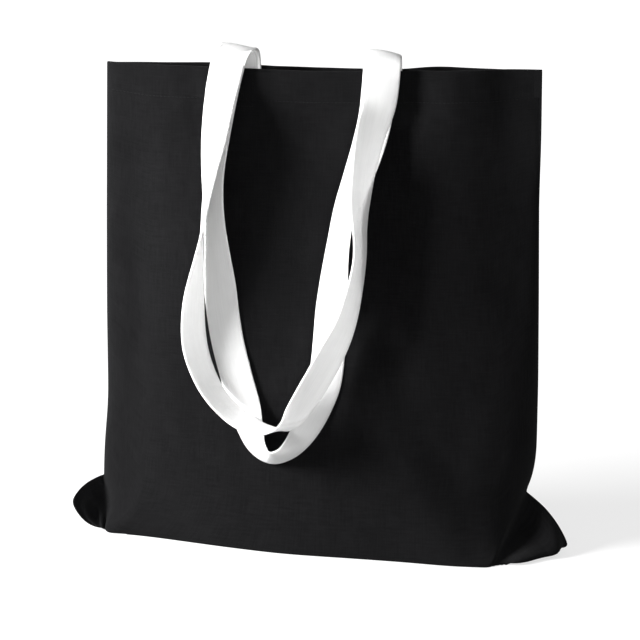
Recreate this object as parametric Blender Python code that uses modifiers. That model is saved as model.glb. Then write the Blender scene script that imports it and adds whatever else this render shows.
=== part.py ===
"""Flat canvas tote bag that stands open on its spread base, with both handles draped over the front.

Frame: metres, +Z up, +X to the wearer's right when the front is seen, the front faces -Y.
The origin is under the middle of the bag, on the surface that it stands on.

The bag is two equal panels sewn together at the sides and the bottom. Standing, each panel
lies on the floor from the bottom seam to its base fold, and then rises to the rim. The bottom
corners stand out as two small ears. Each panel has a turned-in hem, and each handle is one
length of webbing whose ends are box-stitched inside its panel's hem.
"""
import math

import bpy
import bmesh
from mathutils import Vector

# ---- driving dimensions (metres) ----------------------------------------------------------
FLAT_WIDTH = 0.380          # panel, side seam to side seam
STAND_HEIGHT = 0.370        # floor to rim
BODY_HALF_WIDTH = 0.165     # above the ears
CANVAS = 0.0009             # cloth thickness
GAP = 0.0003                # clearance between touching pieces
SEAM_Y = 0.014              # plane of the side and bottom seams

RIM_DEPTH_FRONT = 0.014     # seam plane to the front rim
RIM_DEPTH_BACK = 0.010
# Base fold of each panel, -1 front and +1 back: x, and depth from the seam plane. The bag stands
# a little turned, so the front is deepest on the right and the back on the left.
BASE_LINE = {
    -1: ((-0.166, 0.0135), (-0.134, 0.0195), (-0.102, 0.0268), (-0.072, 0.0338), (-0.023, 0.0438),
         (0.022, 0.0458), (0.073, 0.0488), (0.114, 0.0543), (0.166, 0.0500)),
    1: ((-0.166, 0.044), (-0.120, 0.050), (-0.060, 0.047), (0.0, 0.042), (0.060, 0.037),
        (0.120, 0.030), (0.166, 0.020)),
}
BELLY_POWER = 1.3           # how fast a wall draws in from its base fold towards the rim
CLOSING = (0.068, 0.153, 0.45)      # the mouth closes from one x to another, to this share
BELLY_TOP = 0.330           # the panels stand upright above this height
SECTION_POWER = 5.0         # squareness of the body's ends in plan

EAR_TIP_X = FLAT_WIDTH / 2
EAR_TIP_RISE = (0.020, 0.006)       # left, right: height of the ear's point
EAR_PINCH_Z = 0.046                 # where the side seam leaves the ear
EAR_BASE_X = 0.150                  # where the bottom seam leaves the floor
EAR_FOLD_X = 0.157                  # outer end of the base fold
EAR_FOLD_SHARE = 0.8                # its share of the base fold's depth there
EAR_SHARE = 0.76                    # part of the half width that is not ear

FLOOR_BAND = 0.002          # softened folds lower than this are pressed flat
FLOOR_END = 0.010           # except this close to the ears
WALL_BLEND = 0.05           # height over which a wall leaves its base fold
RIM_GAP = 0.0004            # hem below the fold of the rim
WELD = 0.00001

HEM_HEIGHT = 0.024
HEM_THICK = 0.0012
HEM_SHARE = 0.86                   # hem's share of the panel's width
SEAM_ALLOWANCE = 0.010
SEAM_INSET = 0.0070         # from the body's end to the outer edge of the allowance
SEAM_FOOT = 0.012           # the side allowances start this far above the ears
SEAM_HEAD = 0.003           # and end this far below the hems
BOTTOM_INSET = 0.012        # from the end of the bottom seam to its allowance
OVERLOCK_RADIUS = 0.0009
THREAD_RADIUS = 0.00025

STRAP_WIDTH = 0.025
STRAP_THICK = 0.0020
TAIL_X = {-1: -0.0575, 1: 0.048}    # sewn ends, left and right
TAIL_LENGTH = 0.034         # sewn length below the rim
LEG_CLEARANCE = 0.0012      # front handle's legs to the panel, over the hem stitches
LAYER_GAP = 0.0005          # between the two handles
STITCH_BOX = (0.019, 0.022)         # box stitch, across and along the strap
STITCH_DROP = 0.003                 # its middle below the middle of the sewn length
HEM_STITCH_RISE = 0.002             # hem stitches above the hem's raw edge
HEM_STITCH_SHARE = 0.88             # their share of the panel's width
STITCH_WIDTH = 0.0012
STITCH_THICK = 0.0005

# Handle turns over the rim: quarter arcs about each hinge axis.
INNER_STACK = CANVAS + GAP + HEM_THICK + GAP + STRAP_THICK / 2     # panel face to tail's middle
FRONT_TAIL_Y = SEAM_Y - RIM_DEPTH_FRONT + INNER_STACK
BACK_TAIL_Y = SEAM_Y + RIM_DEPTH_BACK - INNER_STACK
FRONT_LEG_Y = SEAM_Y - RIM_DEPTH_FRONT - LEG_CLEARANCE - STRAP_THICK / 2
BACK_LEG_Y = FRONT_LEG_Y - STRAP_THICK - LAYER_GAP
FRONT_AXIS = ((FRONT_TAIL_Y + FRONT_LEG_Y) / 2, STAND_HEIGHT + 0.005)
BACK_AXIS = ((BACK_TAIL_Y + BACK_LEG_Y) / 2, STAND_HEIGHT + 0.004)
FRONT_TAIL_TOP = STAND_HEIGHT + 0.001
BACK_TAIL_TOP = STAND_HEIGHT - 0.003

# The turns over the rim, left and right: drop of their middle below the hinge axis, rise of the
# webbing's middle above that, and slant of their top in degrees.
FRONT_TURNS = {-1: (0.0012, 0.0031, 3.0), 1: (0.0020, 0.0030, 3.0)}
BACK_TURNS = {-1: (0.0003, 0.0112, 3.0), 1: (0.0018, 0.0100, 3.0)}
TURN_STEPS = 6

# Where each handle lies on the front, left to right: x and z of its middle, lean in degrees,
# and clearance of its nearer edge from the panel, in millimetres. A positive lean carries the
# edge outside the loop away from the panel, and a negative lean the edge inside the loop.
FRONT_ROUTE = [
    (-65, 375, 0, 1.2), (-70.5, 351, -6, 1.2), (-75, 319, -24, 1.2), (-77, 288, -40, 1.2),
    (-76, 258, -43, 1.2), (-74, 228, -28, 1.2), (-72.5, 201, -4, 1.2), (-71, 185, 0, 1.2),
    (-67, 161, 0, 1.2), (-60, 135, -3, 1.2), (-53.5, 114, -6, 1.2), (-48, 98, -25, 1.2),
    (-41.5, 84.5, -42, 1.2), (-31.5, 77.5, -52, 1.2), (-20.5, 80.5, -42, 1.2), (-11.5, 89.5, -29, 1.2),
    (-4, 102, -18, 1.2), (3, 118, -11, 1.2), (8.5, 135.5, -8, 1.2), (11, 161, 2, 1.2),
    (12.5, 185.5, 10, 1.2), (14.5, 208.5, 26, 1.2), (17.5, 237, 38, 1.2), (22, 263.5, 30, 1.2),
    (30.5, 287, 16, 1.2), (38, 310, 7, 1.2), (44, 337, 0, 1.2), (47, 375, 0, 1.2),
]
BACK_ROUTE = [
    (-65.7, 374, 0, 3.7), (-70, 353, -11, 5.0), (-71.5, 337, -28, 6.5), (-73, 318, -45, 8.0),
    (-77, 292, -62, 8.0), (-81, 269, -72, 6.0), (-84, 248, -80, 5.0), (-87, 226, -95, 4.8),
    (-91, 194, -118, 4.6), (-91, 163.5, -126, 3.4), (-85, 142, -120, 3.0), (-74.5, 125, -111, 6.0),
    (-61, 113, -105, 9.0), (-46, 106, -100, 14.0), (-31.5, 103, -88, 16.0), (-17.5, 107, -62, 17.0),
    (-7, 121, -45, 13.0), (5, 141, -38, 8.5), (16.5, 163, -41, 7.0), (26, 185.5, -57, 7.0),
    (31.8, 210, -68, 6.0), (35, 232, -75, 5.0), (35, 253, -74, 6.0), (35.5, 276, -61, 10.5),
    (38, 300, -51, 11.5), (42, 325, -34, 8.5), (47.3, 345.5, -14, 4.5), (49.6, 374, 0, 3.7),
]
STRAP_STEPS = 3             # rings of the solid between two points of a route

COLUMNS = 28                # panel grid across
WALL_ROWS = 12
BASE_ROWS = 3


def smoothstep(t):
    t = min(1.0, max(0.0, t))
    return t * t * (3.0 - 2.0 * t)


def lerp(a, b, t):
    return a + (b - a) * t


# ---- the standing shape of the bag ---------------------------------------------------------
def base_share(z):
    """1 at the floor and 0 at the upright rim band."""
    return max(0.0, 1.0 - z / BELLY_TOP) ** BELLY_POWER


def base_depth(x, face):
    """Distance from the seam plane to the base fold."""
    line = BASE_LINE[face]
    for (x0, depth0), (x1, depth1) in zip(line, line[1:]):
        if x <= x1:
            return lerp(depth0, depth1, max(0.0, (x - x0) / (x1 - x0)))
    return line[-1][1]


def rim_depth(x, face):
    """Distance from the seam plane to the rim. The mouth stands open, and closes to the right."""
    start, end, share = CLOSING
    closed = smoothstep((x - start) / (end - start))
    return (RIM_DEPTH_FRONT if face < 0 else RIM_DEPTH_BACK) * lerp(1.0, share, closed)


def wall_depth(x, z, face):
    """Distance from the seam plane to the outside of a wall; face is -1 front, +1 back."""
    end = max(0.0, 1.0 - abs(x / BODY_HALF_WIDTH) ** SECTION_POWER) ** 0.5
    return end * lerp(rim_depth(x, face), base_depth(x, face), base_share(z))


def wall_x(u, z, face):
    """x at share u of the half width, by even steps of length along the wall in plan."""
    steps = 60
    angles = [math.pi / 2 * i / steps for i in range(steps + 1)]
    xs = [math.copysign(BODY_HALF_WIDTH * math.sin(a) ** 0.7, u) for a in angles]
    lengths = [0.0]
    for a, b in zip(xs, xs[1:]):
        lengths.append(lengths[-1] + math.hypot(b - a, wall_depth(b, z, face) - wall_depth(a, z, face)))
    target = abs(u) * lengths[-1]
    for i in range(steps):
        if lengths[i + 1] >= target:
            span = lengths[i + 1] - lengths[i]
            return lerp(xs[i], xs[i + 1], (target - lengths[i]) / span if span else 0.0)
    return xs[-1]


def ear_corners(side, face):
    """The four corners of the ear's half: bottom seam, point, side seam, end of the base fold."""
    tip_rise = EAR_TIP_RISE[0] if side < 0 else EAR_TIP_RISE[1]
    fold_depth = EAR_FOLD_SHARE * base_depth(side * EAR_FOLD_X, face)
    return (Vector((side * EAR_BASE_X, SEAM_Y, 0.0)),
            Vector((side * EAR_TIP_X, SEAM_Y, tip_rise)),
            Vector((side * BODY_HALF_WIDTH, SEAM_Y, EAR_PINCH_Z)),
            Vector((side * EAR_FOLD_X, SEAM_Y + face * fold_depth, 0.0)))


def base_point(u, row, face):
    """A point of the strip that lies on the floor, or of the ear; row is 0 seam to 1 base fold."""
    side = math.copysign(1.0, u)
    seam, tip, pinch, fold = ear_corners(side, face)
    if abs(u) <= EAR_SHARE:
        x = u / EAR_SHARE * lerp(EAR_BASE_X, EAR_FOLD_X, row)
        fold_x = u / EAR_SHARE * EAR_FOLD_X
        fold_y = abs(fold.y - SEAM_Y) * abs(u / EAR_SHARE) ** 4
        fold_y += base_depth(fold_x, face) * (1.0 - abs(u / EAR_SHARE) ** 4)
        return Vector((x, SEAM_Y + face * fold_y * row, 0.0))
    k = (abs(u) - EAR_SHARE) / (1.0 - EAR_SHARE)
    return seam.lerp(fold, row).lerp(tip.lerp(pinch, row), k)


def wall_point(u, row, face):
    """A point of the standing wall; row is 0 at the base fold and 1 at the rim."""
    k = smoothstep((abs(u) - EAR_SHARE) / (1.0 - EAR_SHARE))
    z = lerp(0.0, STAND_HEIGHT, row) * (1.0 - k) + lerp(EAR_PINCH_Z, STAND_HEIGHT, row) * k
    x = wall_x(u, z, face)
    above = Vector((x, SEAM_Y + face * wall_depth(x, z, face), z))
    return base_point(u, 1.0, face).lerp(above, smoothstep(z / WALL_BLEND + row))


def panel_point(u, v, face):
    """Outside of a panel: u across from -1 to 1, v from the bottom seam at 0 to the rim at 1."""
    base_rows = BASE_ROWS / (BASE_ROWS + WALL_ROWS)
    if v <= base_rows:
        return base_point(u, v / base_rows, face)
    return wall_point(u, (v - base_rows) / (1.0 - base_rows), face)


# ---- helpers -------------------------------------------------------------------------------
def new_material(name, colour, roughness):
    material = bpy.data.materials.new(name)
    material.use_nodes = True
    shader = material.node_tree.nodes["Principled BSDF"]
    shader.inputs["Base Color"].default_value = (*colour, 1.0)
    shader.inputs["Roughness"].default_value = roughness
    material.diffuse_color = (*colour, 1.0)
    return material


def grid_object(name, columns, rows, point, material):
    """A grid whose corners run from (-1, 0) to (1, 1), laid out in space by point(u, v)."""
    mesh = bpy.data.meshes.new(name)
    bm = bmesh.new()
    bmesh.ops.create_grid(bm, x_segments=columns, y_segments=rows, size=1.0)
    for vert in bm.verts:
        vert.co = point(vert.co.x, (vert.co.y + 1.0) / 2.0)
    bm.to_mesh(mesh)
    bm.free()
    obj = bpy.data.objects.new(name, mesh)
    part.objects.link(obj)
    mesh.materials.append(material)
    return obj


def thicken(obj, thickness, offset):
    """Make a sheet a closed solid, and shade it smooth."""
    shell = obj.modifiers.new("thickness", "SOLIDIFY")
    shell.thickness = thickness
    shell.offset = offset
    shell.use_even_offset = False
    bpy.context.view_layer.update()
    evaluated = obj.evaluated_get(bpy.context.evaluated_depsgraph_get())
    solid = bpy.data.meshes.new_from_object(evaluated)
    obj.modifiers.clear()
    obj.data = solid
    bm = bmesh.new()
    bm.from_mesh(solid)
    bmesh.ops.recalc_face_normals(bm, faces=bm.faces)
    bm.to_mesh(solid)
    bm.free()
    solid.shade_smooth()
    solid.set_sharp_from_angle(angle=math.radians(40))


def face_grid_outwards(obj, face):
    """Turn the sheet's faces so that the panel's outside is its front."""
    bm = bmesh.new()
    bm.from_mesh(obj.data)
    bm.normal_update()
    if sum(f.normal.y * f.calc_area() for f in bm.faces) * face < 0:
        bmesh.ops.reverse_faces(bm, faces=bm.faces)
    bm.to_mesh(obj.data)
    bm.free()


def leave_seam_room(obj, face):
    """Draw a panel's seam edges back, so that its thickness stays on its own side of the seam."""
    bm = bmesh.new()
    bm.from_mesh(obj.data)
    bm.normal_update()
    for vert in bm.verts:
        room = GAP / 2 + CANVAS * abs(vert.normal.y)
        if vert.co.z < STAND_HEIGHT - GAP and (vert.co.y - SEAM_Y) * face < room:
            vert.co.y = SEAM_Y + face * room
    bm.to_mesh(obj.data)
    bm.free()


def keep_to_side(obj, face, clearance):
    """Keep a panel's solid on its own side of the seam plane."""
    limit = SEAM_Y + face * clearance
    for vert in obj.data.vertices:
        if (vert.co.y - limit) * face < 0:
            vert.co.y = limit


# ---- cloth ---------------------------------------------------------------------------------
def soften_folds(obj, passes):
    """Round the base fold and the ears, and keep the underside flat on the floor."""
    bm = bmesh.new()
    bm.from_mesh(obj.data)
    inner = [v for v in bm.verts if not v.is_boundary and v.co.z < EAR_PINCH_Z]
    for _ in range(passes):
        bmesh.ops.smooth_vert(bm, verts=inner, factor=0.5, use_axis_x=True, use_axis_y=True,
                              use_axis_z=True)
    for vert in bm.verts:
        if vert.co.z < FLOOR_BAND and abs(vert.co.x) < EAR_BASE_X - FLOOR_END:
            vert.co.z = 0.0
    bm.to_mesh(obj.data)
    bm.free()


def make_panel(name, face, material):
    obj = grid_object(name, COLUMNS, BASE_ROWS + WALL_ROWS, lambda u, v: panel_point(u, v, face), material)
    soften_folds(obj, 2)
    face_grid_outwards(obj, face)
    leave_seam_room(obj, face)
    thicken(obj, CANVAS, -1.0)
    keep_to_side(obj, face, GAP / 2)
    for vert in obj.data.vertices:
        vert.co.z = max(0.0, vert.co.z)
    return obj


def make_hem(name, face, material):
    """The turned-in band behind the rim."""
    inset = CANVAS + GAP

    def point(u, v):
        z = STAND_HEIGHT - HEM_HEIGHT * (1.0 - v) - RIM_GAP
        x = wall_x(u * HEM_SHARE, z, face) * (1.0 - inset / BODY_HALF_WIDTH)
        depth = wall_depth(x / (1.0 - inset / BODY_HALF_WIDTH), z, face) - inset
        return Vector((x, SEAM_Y + face * depth, z))

    obj = grid_object(name, COLUMNS, 1, point, material)
    face_grid_outwards(obj, face)
    thicken(obj, HEM_THICK, -1.0)
    keep_to_side(obj, face, 2 * GAP)
    return obj


def make_side_allowance(name, side, material):
    """Both panels' raw edges, standing in from the side seam."""
    outer = BODY_HALF_WIDTH - SEAM_INSET

    def point(u, v):
        z = lerp(EAR_PINCH_Z + SEAM_FOOT, STAND_HEIGHT - HEM_HEIGHT - SEAM_HEAD, v)
        return Vector((side * (outer - SEAM_ALLOWANCE * (1.0 - u) / 2.0), SEAM_Y, z))

    obj = grid_object(name, 1, 6, point, material)
    thicken(obj, 2 * CANVAS, 0.0)
    return obj


def make_bottom_allowance(name, material):
    def point(u, v):
        return Vector((u * (EAR_BASE_X - BOTTOM_INSET), SEAM_Y, CANVAS + 2 * GAP + SEAM_ALLOWANCE * v))

    obj = grid_object(name, 6, 1, point, material)
    thicken(obj, 2 * CANVAS, 0.0)
    return obj


def make_thread(name, points, radius, material):
    """A round thread or overlocked edge along a line of points."""
    curve = bpy.data.curves.new(name, "CURVE")
    curve.dimensions = "3D"
    curve.bevel_depth = radius
    curve.bevel_resolution = 1
    curve.render_resolution_u = 0
    curve.use_fill_caps = True
    spline = curve.splines.new("POLY")
    spline.points.add(len(points) - 1)
    for target, place in zip(spline.points, points):
        target.co = (*place, 1.0)
    curve.materials.append(material)
    obj = bpy.data.objects.new(name, curve)
    part.objects.link(obj)
    return obj


def make_hem_stitch(name, face, material):
    """The row of stitches that holds the hem, on the outside of the panel."""
    z = STAND_HEIGHT - HEM_HEIGHT + HEM_STITCH_RISE
    points = []
    steps = 26
    for i in range(steps + 1):
        x = wall_x(HEM_STITCH_SHARE * lerp(-1.0, 1.0, i / steps), z, face)
        depth = wall_depth(x, z, face) + GAP + THREAD_RADIUS
        points.append((x, SEAM_Y + face * depth, z))
    return make_thread(name, points, THREAD_RADIUS, material)


# ---- handles -------------------------------------------------------------------------------
def catmull(points, steps):
    """Even steps on a smooth curve through the points."""
    out = []
    for i in range(len(points) - 1):
        before = points[max(i - 1, 0)]
        a, b = points[i], points[i + 1]
        after = points[min(i + 2, len(points) - 1)]
        for k in range(steps):
            t = k / steps
            out.append(tuple(
                0.5 * (2 * q + (r - p) * t + (2 * p - 5 * q + 4 * r - s) * t * t
                       + (3 * q - p - 3 * r + s) * t ** 3)
                for p, q, r, s in zip(before, a, b, after)))
    out.append(tuple(points[-1]))
    return out


def turn_over_rim(side, leg_x, axis, radius, turn):
    """The front half of a turn over the rim, from its top down to the front leg."""
    drop, rise, slant = turn
    across = Vector((math.cos(math.radians(slant)), 0.0, -math.sin(math.radians(slant))))
    rings = []
    for i in range(TURN_STEPS):
        angle = math.radians(lerp(90, 180, i / TURN_STEPS))
        place = Vector((lerp(TAIL_X[side], leg_x, 0.5 + 0.5 * i / TURN_STEPS),
                        axis[0] + radius * math.cos(angle),
                        axis[1] - drop + rise * math.sin(angle)))
        rings.append((place, across))
    return rings


def make_handle(name, route, axis, leg_y, turns, material):
    """The free loop of a handle: over the rim, down the front, round and up again."""
    radius = axis[0] - leg_y
    stations = catmull([(x / 1000, z / 1000, math.radians(lean), clear / 1000)
                        for x, z, lean, clear in route], STRAP_STEPS)
    rings = turn_over_rim(-1, stations[0][0], axis, radius, turns[-1])
    last = len(stations) - 1
    for i, (x, z, lean, clear) in enumerate(stations):
        before, after = stations[max(i - 1, 0)], stations[min(i + 1, last)]
        along = Vector((after[0] - before[0], 0.0, after[1] - before[1])).normalized()
        inward = Vector((-along.z, 0.0, along.x))
        across = inward * math.cos(lean) + Vector((0.0, 1.0, 0.0)) * math.sin(lean)
        lift = clear + STRAP_THICK / 2 + STRAP_WIDTH / 2 * abs(math.sin(lean))
        y = SEAM_Y - wall_depth(x, min(z, STAND_HEIGHT), -1) - lift
        if i in (0, last):
            y = leg_y
            z = axis[1] - turns[-1 if i == 0 else 1][0]
        rings.append((Vector((x, y, z)), across))
    right = turn_over_rim(1, stations[-1][0], axis, radius, turns[1])
    rings += [(place, -across) for place, across in reversed(right)]

    def point(u, v):
        place, across = rings[round(v * (len(rings) - 1))]
        return place + across * (u * STRAP_WIDTH / 2)

    obj = grid_object(name, 1, len(rings) - 1, point, material)
    thicken(obj, STRAP_THICK, 0.0)
    return obj


def make_tail(name, x, y, top, material):
    """A sewn end of a handle, flat inside the hem."""
    bottom = STAND_HEIGHT - TAIL_LENGTH
    mesh = bpy.data.meshes.new(name)
    bm = bmesh.new()
    bmesh.ops.create_cube(bm, size=1.0)
    bmesh.ops.scale(bm, verts=bm.verts, vec=(STRAP_WIDTH, STRAP_THICK, top - bottom))
    bm.to_mesh(mesh)
    bm.free()
    mesh.materials.append(material)
    obj = bpy.data.objects.new(name, mesh)
    obj.location = (x, y, (top + bottom) / 2)
    part.objects.link(obj)
    return obj


def rectangle(width, height):
    return [(-width / 2, -height / 2), (width / 2, -height / 2), (width / 2, height / 2),
            (-width / 2, height / 2)]


def make_box_stitch(name, x, y, material):
    """A box stitch with its cross, as one flat solid with four three-cornered holes."""
    curve = bpy.data.curves.new(name, "CURVE")
    curve.dimensions = "2D"
    curve.fill_mode = "BOTH"
    curve.extrude = STITCH_THICK / 2
    curve.render_resolution_u = 0
    width, height = STITCH_BOX
    outlines = [rectangle(width, height)]
    half_x, half_y = width / 2 - STITCH_WIDTH, height / 2 - STITCH_WIDTH
    slant = STITCH_WIDTH * 0.75
    for sign in (-1, 1):
        outlines.append([(-half_x + slant, sign * half_y), (half_x - slant, sign * half_y),
                         (0.0, sign * slant)])
        outlines.append([(sign * half_x, -half_y + slant), (sign * half_x, half_y - slant),
                         (sign * slant, 0.0)])
    for outline in outlines:
        spline = curve.splines.new("POLY")
        spline.points.add(len(outline) - 1)
        spline.use_cyclic_u = True
        for target, (px, py) in zip(spline.points, outline):
            target.co = (px, py, 0.0, 1.0)
    obj = bpy.data.objects.new(name, curve)
    part.objects.link(obj)
    curve.materials.append(material)
    obj.rotation_euler = (math.radians(90), 0.0, 0.0)
    obj.location = (x, y, STAND_HEIGHT - TAIL_LENGTH / 2 - STITCH_DROP)
    bpy.context.view_layer.update()
    evaluated = obj.evaluated_get(bpy.context.evaluated_depsgraph_get())
    mesh = bpy.data.meshes.new_from_object(evaluated)
    bm = bmesh.new()
    bm.from_mesh(mesh)
    bmesh.ops.remove_doubles(bm, verts=bm.verts, dist=WELD)
    bmesh.ops.recalc_face_normals(bm, faces=bm.faces)
    bm.to_mesh(mesh)
    bm.free()
    solid = bpy.data.objects.new(name + "_solid", mesh)
    solid.matrix_world = obj.matrix_world.copy()
    bpy.data.objects.remove(obj)
    solid.name = name
    part.objects.link(solid)
    return solid


# ---- build ---------------------------------------------------------------------------------
for old in list(bpy.data.objects):
    bpy.data.objects.remove(old, do_unlink=True)
part = bpy.data.collections.new("canvas_tote_bag")
bpy.context.scene.collection.children.link(part)

black_canvas = new_material("black_canvas", (0.018, 0.018, 0.020), 0.90)
white_webbing = new_material("white_webbing", (0.80, 0.80, 0.79), 0.85)
black_thread = new_material("black_thread", (0.012, 0.012, 0.013), 0.60)
white_thread = new_material("white_thread", (0.78, 0.78, 0.76), 0.60)

for face_name, face in (("front", -1), ("back", 1)):
    make_panel(face_name + "_panel", face, black_canvas)
    make_hem(face_name + "_hem", face, black_canvas)
    make_hem_stitch(face_name + "_hem_stitch", face, black_thread)

for side_name, side in (("left", -1), ("right", 1)):
    make_side_allowance(side_name + "_side_seam", side, black_canvas)
    edge_x = side * (BODY_HALF_WIDTH - SEAM_INSET - SEAM_ALLOWANCE - GAP - OVERLOCK_RADIUS)
    low, high = EAR_PINCH_Z + SEAM_FOOT, STAND_HEIGHT - HEM_HEIGHT - SEAM_HEAD
    make_thread(side_name + "_side_overlock", [(edge_x, SEAM_Y, low), (edge_x, SEAM_Y, high)],
                OVERLOCK_RADIUS, black_thread)

make_bottom_allowance("bottom_seam", black_canvas)
overlock_z = CANVAS + 3 * GAP + SEAM_ALLOWANCE + OVERLOCK_RADIUS
overlock_x = EAR_BASE_X - BOTTOM_INSET
make_thread("bottom_overlock", [(-overlock_x, SEAM_Y, overlock_z), (overlock_x, SEAM_Y, overlock_z)],
            OVERLOCK_RADIUS, black_thread)

for face_name, tail_y, top, inward in (("front", FRONT_TAIL_Y, FRONT_TAIL_TOP, 1),
                                       ("back", BACK_TAIL_Y, BACK_TAIL_TOP, -1)):
    for side_name, side in (("left", -1), ("right", 1)):
        label = face_name + "_handle_" + side_name
        make_tail(label + "_end", TAIL_X[side], tail_y, top, white_webbing)
        stitch_y = tail_y + inward * (STRAP_THICK / 2 + GAP + STITCH_THICK / 2)
        make_box_stitch(label + "_box_stitch", TAIL_X[side], stitch_y, white_thread)

make_handle("front_handle", FRONT_ROUTE, FRONT_AXIS, FRONT_LEG_Y, FRONT_TURNS, white_webbing)
make_handle("back_handle", BACK_ROUTE, BACK_AXIS, BACK_LEG_Y, BACK_TURNS, white_webbing)
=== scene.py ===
"""Looks of the canvas tote bag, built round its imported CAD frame.

Metres, +Z up, the front faces -Y. Each cloth piece is a grid of points laid out by the bag's
standing shape, softened and creased in code, and made a closed sheet of the cloth's thickness.
"""
import math

import bpy
import numpy as np
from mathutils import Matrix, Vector, noise


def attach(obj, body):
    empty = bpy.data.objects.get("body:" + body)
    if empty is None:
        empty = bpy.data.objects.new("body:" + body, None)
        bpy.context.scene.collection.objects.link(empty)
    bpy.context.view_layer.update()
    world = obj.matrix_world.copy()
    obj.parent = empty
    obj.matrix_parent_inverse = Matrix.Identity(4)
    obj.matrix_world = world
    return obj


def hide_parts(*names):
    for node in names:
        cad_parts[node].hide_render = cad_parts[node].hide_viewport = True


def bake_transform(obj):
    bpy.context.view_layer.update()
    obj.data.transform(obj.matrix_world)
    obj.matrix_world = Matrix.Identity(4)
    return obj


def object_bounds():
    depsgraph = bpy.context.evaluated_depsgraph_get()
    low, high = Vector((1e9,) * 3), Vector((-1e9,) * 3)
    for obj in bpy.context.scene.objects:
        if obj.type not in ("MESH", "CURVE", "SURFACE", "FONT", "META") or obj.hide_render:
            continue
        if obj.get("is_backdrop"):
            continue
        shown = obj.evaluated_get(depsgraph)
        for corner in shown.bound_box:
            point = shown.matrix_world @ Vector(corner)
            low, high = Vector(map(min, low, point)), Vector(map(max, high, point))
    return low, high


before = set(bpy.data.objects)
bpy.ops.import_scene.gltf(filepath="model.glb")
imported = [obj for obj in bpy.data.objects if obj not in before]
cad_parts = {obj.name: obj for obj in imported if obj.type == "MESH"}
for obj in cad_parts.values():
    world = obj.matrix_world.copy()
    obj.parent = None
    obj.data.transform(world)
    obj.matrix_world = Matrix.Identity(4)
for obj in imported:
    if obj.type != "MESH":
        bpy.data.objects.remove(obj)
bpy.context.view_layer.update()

# ---- the bag's sizes, as its CAD source has them ------------------------------------------
FLAT_WIDTH = 0.380
FLAT_HEIGHT = 0.415
STAND_HEIGHT = 0.370
HALF_WIDTH = 0.165
CANVAS = 0.0009
SEAM_Y = 0.014
RIM_DEPTH = {-1: 0.014, 1: 0.010}
BELLY_TOP = 0.330
EAR_SHARE = 0.76
HEM_HEIGHT = 0.024
SEAM_GAP = 0.0002
BASE_STRIP = 0.045          # part of each panel's height that lies on the floor
HEM_CLEAR = 0.00025         # air inside the folds of the hem

STRAP_WIDTH = 0.025
STRAP_THICK = 0.0019
TAIL_X = {-1: -0.0575, 1: 0.048}
TAIL_LENGTH = 0.034
FRONT_AXIS = (0.00075, 0.375)
BACK_AXIS = (0.0078, 0.374)
FRONT_LEG_Y = -0.0022
BACK_LEG_Y = -0.0047
TAIL_Y = {"front": 0.0037, "back": 0.0203}
LEG_START = (0.345, 0.028)  # height where a strap leaves the wall for the rim, and its blend
TURN_CUP = 0.0011           # how far the webbing's edges curl in at the turns
# Turns over the rim: the drop below the hinge axis, the rise, and the slant of the top in degrees.
TURNS = {
    "front_handle": {-1: (0.0005, 0.0036, 12.0), 1: (0.0020, 0.0036, 11.0)},
    "back_handle": {-1: (0.0005, 0.0104, 12.0), 1: (0.0020, 0.0094, 11.0)},
}

# Base fold of each panel: x, and the depth from the seam plane, left to right.
BASE_LINE = {
    -1: ((-0.166, 0.0135), (-0.134, 0.0195), (-0.102, 0.0268), (-0.072, 0.0338), (-0.023, 0.0438),
         (0.022, 0.0458), (0.073, 0.0488), (0.114, 0.0543), (0.134, 0.0535), (0.166, 0.047)),
    1: ((-0.166, 0.044), (-0.120, 0.050), (-0.060, 0.047), (0.0, 0.042), (0.060, 0.037),
        (0.120, 0.030), (0.166, 0.020)),
}
# Side seams: height and x, from the ear's pinch to the rim.
SIDE_LINE = {
    -1: ((0.043, 0.171), (0.060, 0.1705), (0.078, 0.169), (0.104, 0.166), (0.176, 0.1655),
         (0.249, 0.164), (0.368, 0.161)),
    1: ((0.0446, 0.159), (0.054, 0.1635), (0.074, 0.1665), (0.133, 0.1665), (0.195, 0.1655),
        (0.271, 0.164), (0.316, 0.1645), (0.368, 0.164)),
}
# Ears: where the bottom seam leaves the floor, the point and the side seam's pinch, with y from the
# seam plane; then x and depth of the front and back base folds' outer ends, and the edges' swell.
EARS = {
    -1: {"seam": (-0.164, 0.0, 0.0), "tip": (-0.1930, -0.019, 0.0250), "pinch": (-0.171, 0.0, 0.043),
         "fold": {-1: (-0.1695, 0.0165), 1: (-0.156, 0.040)}, "convex": (-0.0020, 0.0019)},
    1: {"seam": (0.150, 0.0, 0.0), "tip": (0.1940, -0.011, 0.0045), "pinch": (0.159, 0.0, 0.0446),
        "fold": {-1: (0.136, 0.0530), 1: (0.157, 0.020)}, "convex": (0.0024, 0.0019)},
}
# Outline of the right ear's front half on the floor: share of the ear, x, and depth.
EAR_FLOOR = ((0.0, 0.136, 0.0540), (0.22, 0.1505, 0.0520), (0.42, 0.1625, 0.0430),
             (0.60, 0.1730, 0.0310), (0.74, 0.1805, 0.0275), (0.88, 0.1880, 0.0270),
             (1.0, 0.1935, 0.0165))
# Height of the rim against the bag's, left to right.
RIM_LINE = {
    -1: ((-0.165, -0.0015), (-0.080, -0.0022), (-0.012, -0.0038), (0.060, -0.0026),
         (0.120, -0.0010), (0.165, -0.0012)),
    1: ((-0.165, -0.0020), (-0.085, -0.0025), (-0.015, -0.0041), (0.060, -0.0046),
        (0.085, -0.0012), (0.115, -0.0016), (0.165, -0.0016)),
}

COLUMNS = 200
BASE_ROWS = 26
WALL_ROWS = 140
HEM_ROWS = 12
TURN_ROWS = 6
TAIL_POINTS = 17            # centres along a sewn tail, and along a turn over the rim
TURN_POINTS = 25
EDGE_STEPS = 6              # steps round a strap's rounded edge

STITCH_SIDES = 6
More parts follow.
